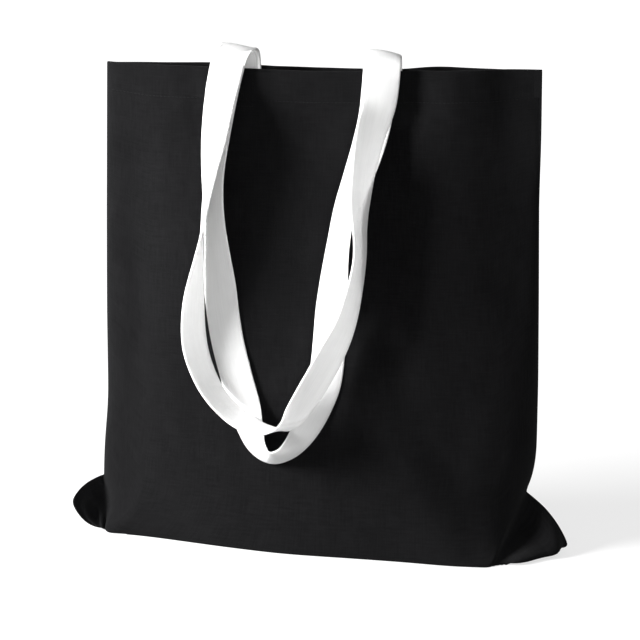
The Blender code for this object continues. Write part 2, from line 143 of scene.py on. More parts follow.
# A stitch: share of its length, of its radius, and how many radii it is sunk in the cloth.
STITCH_SHAPE = ((0.0, 0.3, 1.1), (0.10, 0.8, 0.5), (0.35, 1.0, 0.0), (0.65, 1.0, 0.0),
                (0.90, 0.8, 0.5), (1.0, 0.3, 1.1))
STITCH_PITCH = 0.0030
STITCH_SHARE = 0.86
STITCH_RADIUS = 0.00017
HEM_STITCH_DROP = 0.0225
BOX_STITCH = (0.019, 0.022)
BOX_DROP = 0.003            # middle of a box stitch below the middle of its tail
BOX_WALL_Z = 0.35           # height at which its place on the outside of the wall is read
SEAM_START = 0.0030
SEAM_ALLOWANCE = 0.010
SEAM_FOOT = 0.012           # the side allowances start this far above the ears
SEAM_HEAD = 0.003           # and end this far below the hems
BOTTOM_SEAM_END = 0.138
BOTTOM_SEAM_Z = 0.0013      # lower edge of the bottom allowance
ALLOWANCE_GRID = (90, 9)    # points along an allowance and across it
THREAD_CLEAR = 0.0003       # overlock thread outside the raw edges
OVERLOCK = {"radius_out": 0.0014, "pitch": 0.0021, "thread": 0.0002}
COIL_STEPS = 10             # points in one turn of the thread
COIL_SIDES = 5


def smoothstep(t):
    t = np.clip(t, 0.0, 1.0)
    return t * t * (3.0 - 2.0 * t)


def lerp(a, b, t):
    return a + (b - a) * t


def bump_at(value, centre, width):
    """1 at the centre, falling smoothly to nearly 0 at twice the width."""
    return np.exp(-((value - centre) / width) ** 2)


def noise_field(x, z, scale_x, scale_z, seed):
    """Smooth noise from -1 to 1 over arrays x and z, with its own feature size each way."""
    places = zip(x.ravel(), z.ravel())
    flat = [noise.noise(Vector((a / scale_x, b / scale_z, seed))) for a, b in places]
    return np.array(flat).reshape(x.shape)


# ---- the standing shape --------------------------------------------------------------------
def end_power(x):
    """Squareness of the bag's ends in plan."""
    return np.where(x < 0, 7.0, 3.4)


def smooth_table(points, value, blur):
    """Interpolation through points with its corners rounded."""
    xs, ys = (np.array(p) for p in zip(*points))
    fine = np.linspace(xs[0], xs[-1], 200)
    line = np.interp(fine, xs, ys)
    reach = np.arange(-40, 41)
    kernel = np.exp(-(reach / blur) ** 2)
    kernel /= kernel.sum()
    padded = np.concatenate([2 * line[0] - line[40:0:-1], line, 2 * line[-1] - line[-2:-42:-1]])
    return np.interp(value, fine, np.convolve(padded, kernel, mode="valid"))


def base_depth(x, face):
    return smooth_table(BASE_LINE[face], x, 12.0)


def half_width(x, z):
    """Distance from the middle to the side seam, on the side that x is."""
    left = smooth_table(SIDE_LINE[-1], z, 10.0)
    right = smooth_table(SIDE_LINE[1], z, 7.0)
    return np.where(x < 0, left, right)


def rim_depth(x, face):
    """The mouth stands open on the left and closes towards the right."""
    closing = smoothstep((x - 0.068) / 0.085)
    left = smooth_table(((-0.170, 0.30), (-0.120, 0.75), (-0.075, 1.0), (0.170, 1.0)), x, 10.0)
    return RIM_DEPTH[face] * lerp(1.0, 0.20, closing) * left


def wall_depth(x, z, face):
    """Distance from the seam plane to the outside of a wall; face is -1 front, +1 back."""
    end = np.clip(1.0 - np.abs(x / HALF_WIDTH) ** end_power(x), 0.0, 1.0) ** 0.5
    share = np.clip(1.0 - z / BELLY_TOP, 0.0, 1.0) ** 1.3
    return end * lerp(rim_depth(x, face), base_depth(x, face), share)


def wall_x_table(us, levels, face):
    """x for each level and column, by even steps of length along the wall in plan."""
    angles = np.linspace(0.0, math.pi / 2, 200)
    table = np.zeros((len(levels), len(us)))
    for side in (-1, 1):
        xs = side * HALF_WIDTH * np.sin(angles) ** 0.7
        for i, z in enumerate(levels):
            depths = wall_depth(xs, z, face)
            steps = np.hypot(np.diff(xs), np.diff(depths))
            lengths = np.concatenate(([0.0], np.cumsum(steps)))
            chosen = np.sign(us) == side
            table[i, chosen] = np.interp(np.abs(us[chosen]) * lengths[-1], lengths, xs)
    return table


def cross(ax, az, bx, bz):
    """Twice the signed area between two directions in the plane of x and z."""
    return ax * bz - az * bx


def seam_line_y(x, z):
    """The seam runs in one plane, but the points of the ears have swung forward."""
    shift = np.zeros(np.shape(x))
    for side in (-1, 1):
        seam, tip, pinch = (EARS[side][name] for name in ("seam", "tip", "pinch"))
        edge_x, edge_z = pinch[0] - seam[0], pinch[2] - seam[2]
        full = cross(tip[0] - seam[0], tip[2] - seam[2], edge_x, edge_z)
        share = np.clip(cross(x - seam[0], z - seam[2], edge_x, edge_z) / full, 0.0, 1.0)
        share = share * smoothstep((1.4 * pinch[2] - z) / (0.4 * pinch[2]))
        shift = shift + tip[1] * np.where(side * x > 0.0, share, 0.0)
    return SEAM_Y + shift


def ear_corners(side, face):
    """Bottom seam, point, side seam, and end of the base fold, of one ear's half."""
    ear = EARS[side]
    plane = np.array((0.0, SEAM_Y, 0.0))
    seam, tip, pinch = (np.array(ear[name]) + plane for name in ("seam", "tip", "pinch"))
    fold_x, depth = ear["fold"][face]
    return seam, tip, pinch, np.array((fold_x, SEAM_Y + face * depth, 0.0))


def ear_shape(k, row, side, face):
    """Swell of an ear's half away from its plain corners, in metres."""
    across = math.sin(math.pi * k) * float(smoothstep(row / 0.25))
    shift = np.zeros(3)
    if side > 0:
        roll = across * bump_at(row, 0.42, 0.34) * 0.0125
        hollow = across * bump_at(row, 0.83, 0.12) * 0.0055
        shift += np.array((0.30, face * 0.95, 0.0)) * roll
        shift -= np.array((0.0, face * 1.0, 0.0)) * hollow
        shift += np.array((0.0, 0.0, 1.0)) * across * bump_at(row, 0.30, 0.20) * 0.003
    else:
        swell = across * math.sin(math.pi * min(1.0, row * 1.1)) * 0.0065
        dimple = bump_at(k, 0.55, 0.17) * bump_at(row, 0.52, 0.17) * 0.0120
        tuck = across ** 0.6 * bump_at(row, 0.86, 0.11) * 0.0090
        shift += np.array((-0.1, face * 1.0, 0.1)) * (swell - dimple)
        shift += np.array((0.35, -face * 1.0, 0.0)) * tuck
    return shift


def resting_ear(k, row, seam, tip, pinch, fold):
    """The right ear's front: flat on the floor out to its outline, then rolling up to the crease."""
    shares, xs, depths = zip(*EAR_FLOOR)
    rest = np.array((np.interp(k, shares, xs), SEAM_Y - np.interp(k, shares, depths), 0.0))
    start, crease = lerp(seam, tip, k), lerp(fold, pinch, k)
    start[2] *= k
    rest[2] = 0.0018 * smoothstep((k - 0.8) / 0.2)
    split = 1.0 - 0.5 * float(smoothstep(k / 0.35))
    if row < split:
        return lerp(start, rest, row / split)
    t = (row - split) / (1.0 - split)
    point = lerp(rest, crease, t)
    roll = math.sin(math.pi * min(1.0, t * 2.2)) * 0.0040 * math.sin(math.pi * min(1.0, k + 0.15))
    hollow = smoothstep((t - 0.22) / 0.30) * (1.0 - smoothstep((t - 0.86) / 0.14)) * 0.0165
    hollow *= math.sin(math.pi * k) ** 0.8
    return point + np.array((0.35, -0.70, 0.35)) * roll + np.array((-0.15, 0.95, -0.2)) * hollow


def base_rows_points(us, row, face):
    """Points of the strip on the floor and of the ears; row is 0 seam to 1 base fold."""
    points = np.zeros((len(us), 3))
    for i, u in enumerate(us):
        side = -1 if u < 0 else 1
        seam, tip, pinch, fold = ear_corners(side, face)
        k = (abs(u) - EAR_SHARE) / (1.0 - EAR_SHARE)
        if k <= 0:
            share = abs(u) / EAR_SHARE
            fold_x = share * fold[0]
            depth = lerp(float(base_depth(fold_x, face)), abs(fold[1] - SEAM_Y), share ** 6)
            points[i] = (lerp(share * seam[0], fold_x, row), SEAM_Y + face * depth * row, 0.0)
            continue
        points[i] = lerp(lerp(seam, fold, row), lerp(tip, pinch, row), k)
        points[i][2] *= k ** ((1.0 if side > 0 else 1.9) * (1.0 - row))
        points[i] += ear_shape(k, row, side, face)
        if side > 0 and face < 0:
            resting = resting_ear(k, row, seam, tip, pinch, fold)
            points[i] = lerp(resting, points[i], smoothstep((k - 0.90) / 0.10))
        out_x, out_z = EARS[side]["convex"]
        points[i] += np.array((out_x, 0.0, out_z)) * math.sin(math.pi * row) * k ** 2 * 1.4
    return points


def front_relief(x, z):
    """Folds of the front wall, outward positive, in metres."""
    up = smoothstep(z / 0.030)
    high = smoothstep((z - 0.04) / 0.12)
    folds = -0.0058 * bump_at(x, 0.062, 0.017) * high
    folds += 0.0052 * bump_at(x, 0.110, 0.026) * smoothstep((z - 0.12) / 0.16)
    folds += 0.0024 * bump_at(x, 0.030, 0.018) * bump_at(z, 0.165, 0.055)
    line = x - lerp(0.070, 0.118, smoothstep((0.110 - z) / 0.10))
    step = smoothstep((line + 0.018) / 0.036) * (1.0 - 0.7 * smoothstep((x - 0.100) / 0.055))
    folds -= 0.0082 * step * bump_at(z, 0.080, 0.062)
    folds += 0.0016 * bump_at(x, -0.112, 0.020) * bump_at(z, 0.16, 0.15)
    folds -= 0.0014 * bump_at(x, -0.140, 0.013) * bump_at(z, 0.20, 0.14)
    folds += 0.0012 * bump_at(x + 0.12 * z, -0.060, 0.014) * bump_at(z, 0.06, 0.06)
    return folds * up


def back_relief(x, z):
    """Folds of the back wall, outward positive, in metres."""
    up = smoothstep(z / 0.030)
    folds = 0.0038 * bump_at(x, -0.085, 0.022) * smoothstep((z - 0.02) / 0.10)
    folds -= 0.0036 * bump_at(x, -0.050, 0.017) * smoothstep((z - 0.05) / 0.15)
    folds -= 0.0044 * bump_at(x - 0.25 * z, 0.030, 0.020) * bump_at(z, 0.13, 0.09)
    folds += 0.0042 * bump_at(x - 0.25 * z, 0.066, 0.021) * bump_at(z, 0.15, 0.10)
    folds += 0.0024 * bump_at(x + 0.30 * z, -0.130, 0.016) * bump_at(z, 0.09, 0.07)
    return folds * up


def wall_relief(x, z, face):
    """All relief of a wall: its folds, a light unevenness and puckers; none behind the sewn ends."""
    folds = front_relief(x, z) if face < 0 else back_relief(x, z)
    seed = 3.1 if face < 0 else 7.7
    folds = folds + 0.00085 * noise_field(x, z, 0.030, 0.210, seed)
    folds = folds + 0.00036 * noise_field(x, z, 0.013, 0.040, seed + 20)
    near_seam = np.exp(-(HALF_WIDTH - np.abs(x)) / 0.010)
    folds = folds + 0.00055 * near_seam * noise_field(x, z, 0.030, 0.0075, seed + 40)
    rim = np.exp(-(STAND_HEIGHT - HEM_HEIGHT - z) ** 2 / 0.010 ** 2)
    folds = folds + 0.00025 * rim * noise_field(x, z, 0.010, 0.020, seed + 60)
    from_tail = np.minimum(np.abs(x - TAIL_X[-1]), np.abs(x - TAIL_X[1]))
    sewn = smoothstep((0.024 - from_tail) / 0.010) * smoothstep((z - 0.320) / 0.015)
    return folds * (1.0 - sewn)


def rim_wave(x, face):
    """The rim's height is not quite even."""
    return smooth_table(RIM_LINE[face], x, 8.0)


def panel_grid(face):
    """The outside of one panel as rows of points from the bottom seam to the hem's raw edge."""
    us = np.linspace(-1.0, 1.0, COLUMNS + 1)
    rows, heights = [], []
    for r in range(BASE_ROWS):
        row = r / BASE_ROWS
        rows.append(base_rows_points(us, row, face))
        heights.append(BASE_STRIP * row)
    levels = np.linspace(0.0, STAND_HEIGHT, 26)
    table = wall_x_table(us, levels, face)
    fold = base_rows_points(us, 1.0, face)
    k = smoothstep((np.abs(us) - EAR_SHARE) / (1.0 - EAR_SHARE))
    pinch_z = np.where(us < 0, EARS[-1]["pinch"][2], EARS[1]["pinch"][2])
    for r in range(WALL_ROWS + 1):
        row = r / WALL_ROWS
        z = lerp(STAND_HEIGHT * row, lerp(pinch_z, STAND_HEIGHT, row), k)
        x = np.array([np.interp(zz, levels, table[:, i]) for i, zz in enumerate(z)])
        z = z + rim_wave(x, face) * smoothstep((row - 0.7) / 0.3)
        depth = wall_depth(x, z, face)
        depth = depth + wall_relief(x, z, face) * smoothstep(depth / 0.004)
        above = np.stack([x / HALF_WIDTH * half_width(x, z), SEAM_Y + face * depth, z], axis=1)
        mix = smoothstep(z / 0.05 + row)[:, None]
        rows.append(lerp(fold, above, mix))
        heights.append(BASE_STRIP + (FLAT_HEIGHT - BASE_STRIP) * row)
    grid = np.array(rows)
    return grid, us, np.array(heights)


def round_ear_tips(grid):
    """Round off the point of each ear, along the bottom seam and up the side seam."""
    last = grid.shape[1] - 1
    reach = 16
    for columns in (range(reach, -1, -1), range(last - reach, last + 1)):
        columns = list(columns)
        rows = [0] * len(columns) + list(range(1, reach + 1))
        columns += [columns[-1]] * reach
        line = grid[rows, columns]
        for _ in range(9):
            line[1:-1] = (line[:-2] + 2.0 * line[1:-1] + line[2:]) / 4.0
        grid[rows, columns] = line
    return grid


def soften(grid, passes, mask):
    """Even out a grid of points where the mask allows."""
    for _ in range(passes):
        average = (grid[:-2, 1:-1] + grid[2:, 1:-1] + grid[1:-1, :-2] + grid[1:-1, 2:]) / 4.0
        share = mask[1:-1, 1:-1, None]
        grid[1:-1, 1:-1] = lerp(grid[1:-1, 1:-1], average, share)
    return grid


def grid_normals(grid):
    down = np.gradient(grid, axis=0)
    across = np.gradient(grid, axis=1)
    normals = np.cross(across, down)
    return normals / np.maximum(np.linalg.norm(normals, axis=2, keepdims=True), 1e-12)


def add_hem(grid, heights, face):
    """Turn the rim in and carry the cloth down inside as the hem."""
    top = grid[-1]
    along = np.gradient(top, axis=0)
    inward = np.stack([along[:, 1] * face, -along[:, 0] * face, np.zeros(len(top))], axis=1)
    inward /= np.linalg.norm(inward, axis=1, keepdims=True)
    radius = CANVAS + HEM_CLEAR
    rows = list(grid)
    rows[-1] = top - np.array((0.0, 0.0, radius))
    for i in range(1, TURN_ROWS + 1):
        angle = math.pi * i / TURN_ROWS
        raised = np.array((0, 0, radius * (math.sin(angle) - 1)))
        rows.append(top + inward * radius * (1 - math.cos(angle)) + raised)
    for i in range(1, HEM_ROWS + 1):
        below = grid[-1 - int(round(i / HEM_ROWS * HEM_HEIGHT / STAND_HEIGHT * WALL_ROWS))]
        rows.append(below + inward * 2 * radius)
    lengths = np.linspace(0.0005, HEM_HEIGHT + 0.002, TURN_ROWS + HEM_ROWS)
    return np.array(rows), np.concatenate([heights, heights[-1] + lengths])


def cloth_object(name, grid, coords, thickness, material, flip=False):
    """A closed sheet: the grid is its outside and the thickness, one or one per point, goes inward."""
    normals = grid_normals(grid) * (-1.0 if flip else 1.0)
    inner = grid - normals * np.broadcast_to(thickness, grid.shape[:2])[:, :, None]
    verts = np.concatenate([grid.reshape(-1, 3), inner.reshape(-1, 3)])
    size = grid.shape[0] * grid.shape[1]
    index = np.arange(size).reshape(grid.shape[:2])
    corners = [index[:-1, :-1], index[:-1, 1:], index[1:, 1:], index[1:, :-1]]
    quads = np.stack(corners, axis=-1).reshape(-1, 4)
    if flip:
        quads = quads[:, ::-1]
    faces = [quads, quads[:, ::-1] + size]
    loop = np.concatenate([index[0, :-1], index[:-1, -1], index[-1, :0:-1], index[:0:-1, 0]])
    following = np.roll(loop, -1)
    border = np.stack([following, loop, loop + size, following + size], axis=-1)
    faces.append(border[:, ::-1] if flip else border)
    mesh = bpy.data.meshes.new(name)
    mesh.from_pydata(verts.tolist(), [], np.concatenate(faces).tolist())
    mesh.update()
    mesh.validate()
    layer = mesh.attributes.new("cloth_place", "FLOAT_VECTOR", "POINT")
    both = np.concatenate([coords.reshape(-1, 3), coords.reshape(-1, 3)])
    layer.data.foreach_set("vector", both.astype(np.float32).ravel())
    mesh.shade_smooth()
    mesh.set_sharp_from_angle(angle=math.radians(60))
    mesh.materials.append(material)
    obj = bpy.data.objects.new(name, mesh)
    bpy.context.scene.collection.objects.link(obj)
    return obj


# ---- materials -----------------------------------------------------------------------------
class Nodes:
    """A short way to write a material's nodes."""

    def __init__(self, name, roughness):
        self.material = bpy.data.materials.new(name)
        self.material.use_nodes = True
        self.tree = self.material.node_tree
        self.shader = self.tree.nodes["Principled BSDF"]
        self.shader.inputs["Roughness"].default_value = roughness

    def node(self, kind, **inputs):
        made = self.tree.nodes.new(kind)
        for key, value in inputs.items():
            socket = made.inputs[int(key[1:])] if key[0] == "i" and key[1:].isdigit() else made.inputs[key]
            self.feed(socket, value)
        return made

    def feed(self, socket, value):
        if isinstance(value, bpy.types.NodeSocket):
            self.tree.links.new(value, socket)
        else:
            socket.default_value = value

    def math(self, operation, a, b=0.0, c=0.0):
        made = self.node("ShaderNodeMath", i0=a, i1=b, i2=c)
        made.operation = operation
        return made.outputs[0]

    def scaled(self, vector, x, y, z=1.0):
        made = self.node("ShaderNodeVectorMath", i0=vector, i1=(x, y, z))
        made.operation = "MULTIPLY"
        return made.outputs[0]

    def noise(self, vector, scale, detail=2.0, rough=0.5):
        made = self.node("ShaderNodeTexNoise", Vector=vector, Scale=scale, Detail=detail, Roughness=rough)
        return made.outputs["Fac"]

    def mix(self, factor, a, b):
        made = self.tree.nodes.new("ShaderNodeMix")
        made.data_type = "RGBA"
        self.feed(made.inputs[0], factor)
        self.feed(made.inputs[6], a)
        self.feed(made.inputs[7], b)
        return made.outputs[2]

    def remap(self, value, low, high, to_low, to_high):
        made = self.node("ShaderNodeMapRange", Value=value)
        for key, number in (("From Min", low), ("From Max", high), ("To Min", to_low), ("To Max", to_high)):
            made.inputs[key].default_value = number
        return made.outputs[0]

    def bump(self, height, strength, distance, normal=None):
        made = self.node("ShaderNodeBump", Height=height, Strength=strength, Distance=distance)
        if normal is not None:
            self.feed(made.inputs["Normal"], normal)
        return made.outputs[0]

    def slanted(self, value, size):
        """A vector that carries a 0 to 1 value as a shift along one diagonal."""
        centred = self.math("SUBTRACT", value, 0.5)
        made = self.node("ShaderNodeCombineXYZ", i0=self.math("MULTIPLY", centred, size))
        self.feed(made.inputs[1], self.math("MULTIPLY", centred, -size))
        return made.outputs[0]


def plain_weave(n, place, pitch):
    """Height of a plain weave, 0 to 1, from a place on the flat cloth in metres."""
    wobble = n.noise(place, 160.0, 1.0)
    shifted = n.node("ShaderNodeVectorMath", i0=place, i1=n.slanted(wobble, pitch * 0.9))
    shifted.operation = "ADD"
    split = n.node("ShaderNodeSeparateXYZ", Vector=shifted.outputs[0])
    a = n.math("SINE", n.math("MULTIPLY", split.outputs[0], math.pi / pitch))
    b = n.math("SINE", n.math("MULTIPLY", split.outputs[1], math.pi / pitch))
    over = n.math("GREATER_THAN", n.math("MULTIPLY", a, b), 0.0)
    warp = n.math("POWER", n.math("ABSOLUTE", a), 0.6)
    weft = n.math("POWER", n.math("ABSOLUTE", b), 0.6)
    up = n.math("MULTIPLY", warp, over)
    down = n.math("MULTIPLY", weft, n.math("SUBTRACT", 1.0, over))
    return n.math("ADD", up, down)


def canvas_material(name, dark, light):
    """Plain-woven cotton with slubs, faint clouds of tone, painted shade in the dips of its weave, and a
    little lint.
    """
    n = Nodes(name, 0.92)
    place = n.node("ShaderNodeAttribute")
    place.attribute_name = "cloth_place"
    place = place.outputs["Vector"]
    weave = plain_weave(n, place, 0.00072)
    slub_up = n.noise(n.scaled(place, 1.0, 0.06), 900.0, 2.0)
    slub_across = n.noise(n.scaled(place, 0.06, 1.0), 900.0, 2.0)
    slubs = n.math("ADD", slub_up, slub_across)
    cloud = n.noise(place, 22.0, 4.0, 0.6)
    grain = n.noise(place, 620.0, 3.0, 0.7)
    tone = n.math("ADD", n.remap(slubs, 0.75, 1.25, 0.0, 0.45), n.remap(cloud, 0.3, 0.7, 0.0, 0.25))
    tone = n.math("ADD", tone, n.remap(grain, 0.3, 0.7, 0.0, 0.20))
    # The weave's height is added to the tone: raised threads lighter, the dips between them darker, a
    # painted shade.
    tone = n.math("ADD", tone, n.math("MULTIPLY", weave, 0.25))
    colour = n.mix(n.remap(tone, 0.2, 1.1, 0.0, 1.0), (*dark, 1.0), (*light, 1.0))
    lint = n.math("GREATER_THAN", n.noise(n.scaled(place, 1.0, 0.5), 2600.0, 1.0), 0.80)
    colour = n.mix(n.math("MULTIPLY", lint, 0.35), colour, (0.10, 0.10, 0.11, 1.0))
    n.feed(n.shader.inputs["Base Color"], colour)
    n.feed(n.shader.inputs["Roughness"], n.remap(tone, 0.0, 1.2, 0.97, 0.86))
    n.shader.inputs["Sheen Weight"].default_value = 0.03
    n.shader.inputs["Sheen Roughness"].default_value = 0.55
    n.shader.inputs["Specular IOR Level"].default_value = 0.06
    coarse = n.bump(slubs, 0.30, 0.0003)
    n.feed(n.shader.inputs["Normal"], n.bump(weave, 0.55, 0.00022, coarse))
    return n.material


def webbing_material(name, dark, light):
    """Soft cotton tape: fine ribs along its length, crossed by weft, with tight selvedges; the dips of its
    weave and the furrow by each selvedge carry painted shade.
    """
    n = Nodes(name, 0.9)
    place = n.node("ShaderNodeAttribute")
    place.attribute_name = "cloth_place"
    place = place.outputs["Vector"]
    split = n.node("ShaderNodeSeparateXYZ", Vector=place)
    across, along = split.outputs[0], split.outputs[1]
    weave = plain_weave(n, n.scaled(place, 1.0, 0.8), 0.00068)
    streak = n.noise(n.scaled(place, 1.0, 0.030), 1100.0, 2.0)
    soft = n.noise(n.scaled(place, 1.0, 0.25), 160.0, 3.0)
    edge = n.math("ABSOLUTE", across)
    selvedge = n.remap(edge, STRAP_WIDTH / 2 - 0.0016, STRAP_WIDTH / 2 - 0.0008, 0.0, 1.0)
    from_furrow = n.math("ABSOLUTE", n.math("SUBTRACT", edge, STRAP_WIDTH / 2 - 0.0021))
    furrow = n.math("SUBTRACT", 1.0, n.remap(from_furrow, 0.0, 0.0006, 0.0, 1.0))
    tone = n.math("ADD", n.remap(streak, 0.3, 0.7, 0.0, 0.40), n.remap(soft, 0.3, 0.7, 0.0, 0.35))
    # The weave's height is added to the tone: raised threads lighter, dips darker, a painted shade.
    tone = n.math("ADD", tone, n.math("MULTIPLY", weave, 0.25))
    # The furrow inside each selvedge is painted darker: painted shade in the groove that the bump below
    # also cuts.
    tone = n.math("SUBTRACT", tone, n.math("MULTIPLY", furrow, 0.25))
    colour = n.mix(tone, (*dark, 1.0), (*light, 1.0))
    n.feed(n.shader.inputs["Base Color"], colour)
    n.feed(n.shader.inputs["Roughness"], n.remap(tone, 0.0, 1.2, 0.95, 0.80))
    n.shader.inputs["Sheen Weight"].default_value = 0.10
    n.shader.inputs["Sheen Roughness"].default_value = 0.5
    n.shader.inputs["Specular IOR Level"].default_value = 0.25
    n.shader.inputs["Subsurface Weight"].default_value = 0.8
    n.shader.inputs["Subsurface Radius"].default_value = (1.0, 1.0, 1.0)
    n.shader.inputs["Subsurface Scale"].default_value = 0.005
    height = n.math("ADD", weave, n.math("MULTIPLY", selvedge, 0.8))
    height = n.math("SUBTRACT", height, n.math("MULTIPLY", furrow, 0.8))
    ribs = n.bump(streak, 0.22, 0.0003)
    n.feed(n.shader.inputs["Normal"], n.bump(height, 0.5, 0.0002, ribs))
    return n.material


def thread_material(name, dark, light):
    """Twisted sewing thread, with painted shade in the grooves of its twist."""
    n = Nodes(name, 0.6)
    coords = n.node("ShaderNodeTexCoord").outputs["Object"]
    split = n.node("ShaderNodeSeparateXYZ", Vector=coords)
    slant = n.math("ADD", n.math("ADD", split.outputs[0], split.outputs[1]), split.outputs[2])
    twist = n.math("SINE", n.math("MULTIPLY", slant, math.pi / 0.00022))
    fuzz = n.noise(coords, 3000.0, 2.0)
    # The twist's crests are lighter and its grooves darker: painted shade along the twist, plus random
    # fuzz.
    tone = n.math("ADD", n.remap(twist, -1.0, 1.0, 0.0, 0.5), n.math("MULTIPLY", fuzz, 0.5))
    n.feed(n.shader.inputs["Base Color"], n.mix(tone, (*dark, 1.0), (*light, 1.0)))
    n.feed(n.shader.inputs["Roughness"], n.remap(tone, 0.0, 1.0, 0.75, 0.5))
    n.shader.inputs["Sheen Weight"].default_value = 0.03
    n.shader.inputs["Specular IOR Level"].default_value = 0.08
    n.feed(n.shader.inputs["Normal"], n.bump(twist, 0.6, 0.00008))
    return n.material


canvas = canvas_material("canvas", (0.0024, 0.0024, 0.0027), (0.0078, 0.0078, 0.0084))
webbing = webbing_material("webbing", (0.80, 0.80, 0.795), (0.90, 0.90, 0.895))
dark_thread = thread_material("dark_thread", (0.0030, 0.0030, 0.0034), (0.0100, 0.0100, 0.0108))
light_thread = thread_material("light_thread", (0.62, 0.62, 0.60), (0.84, 0.84, 0.82))

# ---- cloth panels --------------------------------------------------------------------------
panels, cloths = {}, {}
for side_name, face in (("front", -1), ("back", 1)):
    grid, us, heights = panel_grid(face)
    round_ear_tips(grid)
    low = 1.0 - smoothstep((grid[:, :, 2] - 0.02) / 0.05)
    soften(grid, 9, 0.9 * low + 0.04)
    flat_floor = (grid[:, :, 2] < 0.0012) & (np.abs(grid[:, :, 0]) < 0.150)
    grid[flat_floor, 2] = 0.0
    grid[:, :, 2] = np.maximum(grid[:, :, 2], 0.0)
    room = SEAM_GAP / 2
    sewn = seam_line_y(grid[:, :, 0], grid[:, :, 2])
    behind = (grid[:, :, 1] - sewn) * face < room
    grid[behind, 1] = sewn[behind] + face * room
    grid, heights = add_hem(grid, heights, face)
    hem_side = ((grid[:, :, 1] - SEAM_Y) * face < room) & (grid[:, :, 2] > STAND_HEIGHT / 2)
    grid[hem_side, 1] = SEAM_Y + face * room
    coords = np.zeros(grid.shape)
    coords[:, :, 0] = us[None, :] * FLAT_WIDTH / 2
    coords[:, :, 1] = heights[:, None]
    panels[side_name] = (grid, coords)
    cloth = cloth_object(side_name + "_cloth", grid, coords, CANVAS, canvas, flip=face > 0)
    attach(cloth, "root")
    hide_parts(side_name + "_panel", side_name + "_hem")
    cloths[side_name] = cloth

# ---- handles -------------------------------------------------------------------------------
# Where each handle lies on the front, as in the CAD source: x and z of its middle, its lean in
# degrees, and the clearance of its nearer edge from the panel, in millimetres.
FRONT_ROUTE = [
    (-65, 375, 0, 1.2), (-70.5, 351, -6, 1.2), (-75, 319, -24, 1.2), (-77, 288, -40, 1.2),
    (-76, 258, -43, 1.2), (-74, 228, -28, 1.2), (-72.5, 201, -4, 1.2), (-71, 185, 0, 1.2),
    (-67, 161, 0, 1.2), (-60, 135, -3, 1.2), (-53.5, 114, -6, 1.2), (-48, 98, -25, 1.2),
    (-41.5, 84.5, -42, 1.2), (-31.5, 77.5, -52, 1.2), (-20.5, 80.5, -54, 1.2), (-11.5, 89.5, -46, 1.2),
    (-4, 102, -34, 1.2), (3, 118, -20, 1.2), (8.5, 135.5, -8, 1.2), (11, 161, 2, 1.2),
    (12.5, 185.5, 10, 1.2), (14.5, 208.5, 26, 1.2), (17.5, 237, 42, 1.2), (22, 263.5, 45, 1.2),
    (30.5, 287, 30, 1.2), (38, 310, 12, 1.2), (44, 337, 0, 1.2), (47, 375, 0, 1.2),
]
BACK_ROUTE = [
    (-65.7, 374, 0, 3.7), (-70, 353, -11, 5.0), (-71.5, 337, -28, 6.5), (-73, 318, -45, 8.0),
    (-77, 292, -62, 8.0), (-81, 269, -72, 6.0), (-84, 248, -80, 5.0), (-87, 226, -95, 4.8),
    (-91, 194, -118, 4.6), (-91, 163.5, -126, 3.4), (-85, 142, -120, 3.0), (-74.5, 125, -111, 6.0),
    (-61, 113, -105, 9.0), (-46, 106, -100, 14.0), (-31.5, 103, -88, 16.0), (-17.5, 107, -62, 17.0),
    (-7, 121, -45, 13.0), (5, 141, -38, 8.5), (16.5, 163, -41, 7.0), (26, 185.5, -57, 7.0),
    (31.8, 210, -68, 6.0), (35, 232, -75, 5.0), (35, 253, -74, 6.0), (35.5, 276, -61, 10.5),
    (38, 300, -51, 11.5), (42, 325, -34, 8.5), (47.3, 345.5, -14, 4.5), (49.6, 374, 0, 3.7),
]
ROUTE_STEPS = 14
LOOP_PASSES = 10
TURN_PASSES = 14
ACROSS = 14


def catmull(points, steps):
    """A smooth line through a route's points."""
    points = np.array(points, float)
    out = []
    last = len(points) - 1
    for i in range(last):
        p0, p1, p2, p3 = points[max(i - 1, 0)], points[i], points[i + 1], points[min(i + 2, last)]
        for k in range(steps):
            t = k / steps
            out.append(0.5 * (2 * p1 + (p2 - p0) * t + (2 * p0 - 5 * p1 + 4 * p2 - p3) * t * t
                              + (3 * p1 - p0 - 3 * p2 + p3) * t ** 3))
    out.append(points[-1])
    return np.array(out)


def turn_over_rim(side, axis, turn, leg_x, leg_y, tail_y):
    """Sewn tail and turn over the rim, from the tail's lower end to the leg."""
    drop, rise, slant = turn
    tail_x, level = TAIL_X[side], axis[1] - drop
    straight = np.zeros(TAIL_POINTS)
    tail_z = np.linspace(STAND_HEIGHT - TAIL_LENGTH, level, TAIL_POINTS + 1)[:-1]
    tail = np.stack([straight + tail_x, straight + tail_y, tail_z], axis=1)
    angle = np.linspace(0.0, math.pi, TURN_POINTS + 1)[:-1]
    x = lerp(tail_x, leg_x, (angle / math.pi) ** 1.4)
    y = axis[0] + (axis[0] - leg_y) * np.cos(angle)
    arc = np.stack([x, y, level + rise * np.sin(angle)], axis=1)
    tilt = math.radians(slant) * smoothstep(np.concatenate([straight, angle]) / 1.4)
    across = np.stack([np.cos(tilt), np.zeros(len(tilt)), -np.sin(tilt)], axis=1)
    cup = np.concatenate([straight, TURN_CUP * np.sin(angle) ** 1.2])
    return np.concatenate([tail, arc]), across, cup


def even_out(values, ends):
    """Move the values of a stretch halfway to the mean of their neighbours."""
    before = slice(ends.start - 1, ends.stop - 1)
    after = slice(ends.start + 1, (ends.stop + 1) or None)
    values[ends] = lerp(values[ends], (values[before] + values[after]) / 2, 0.5)


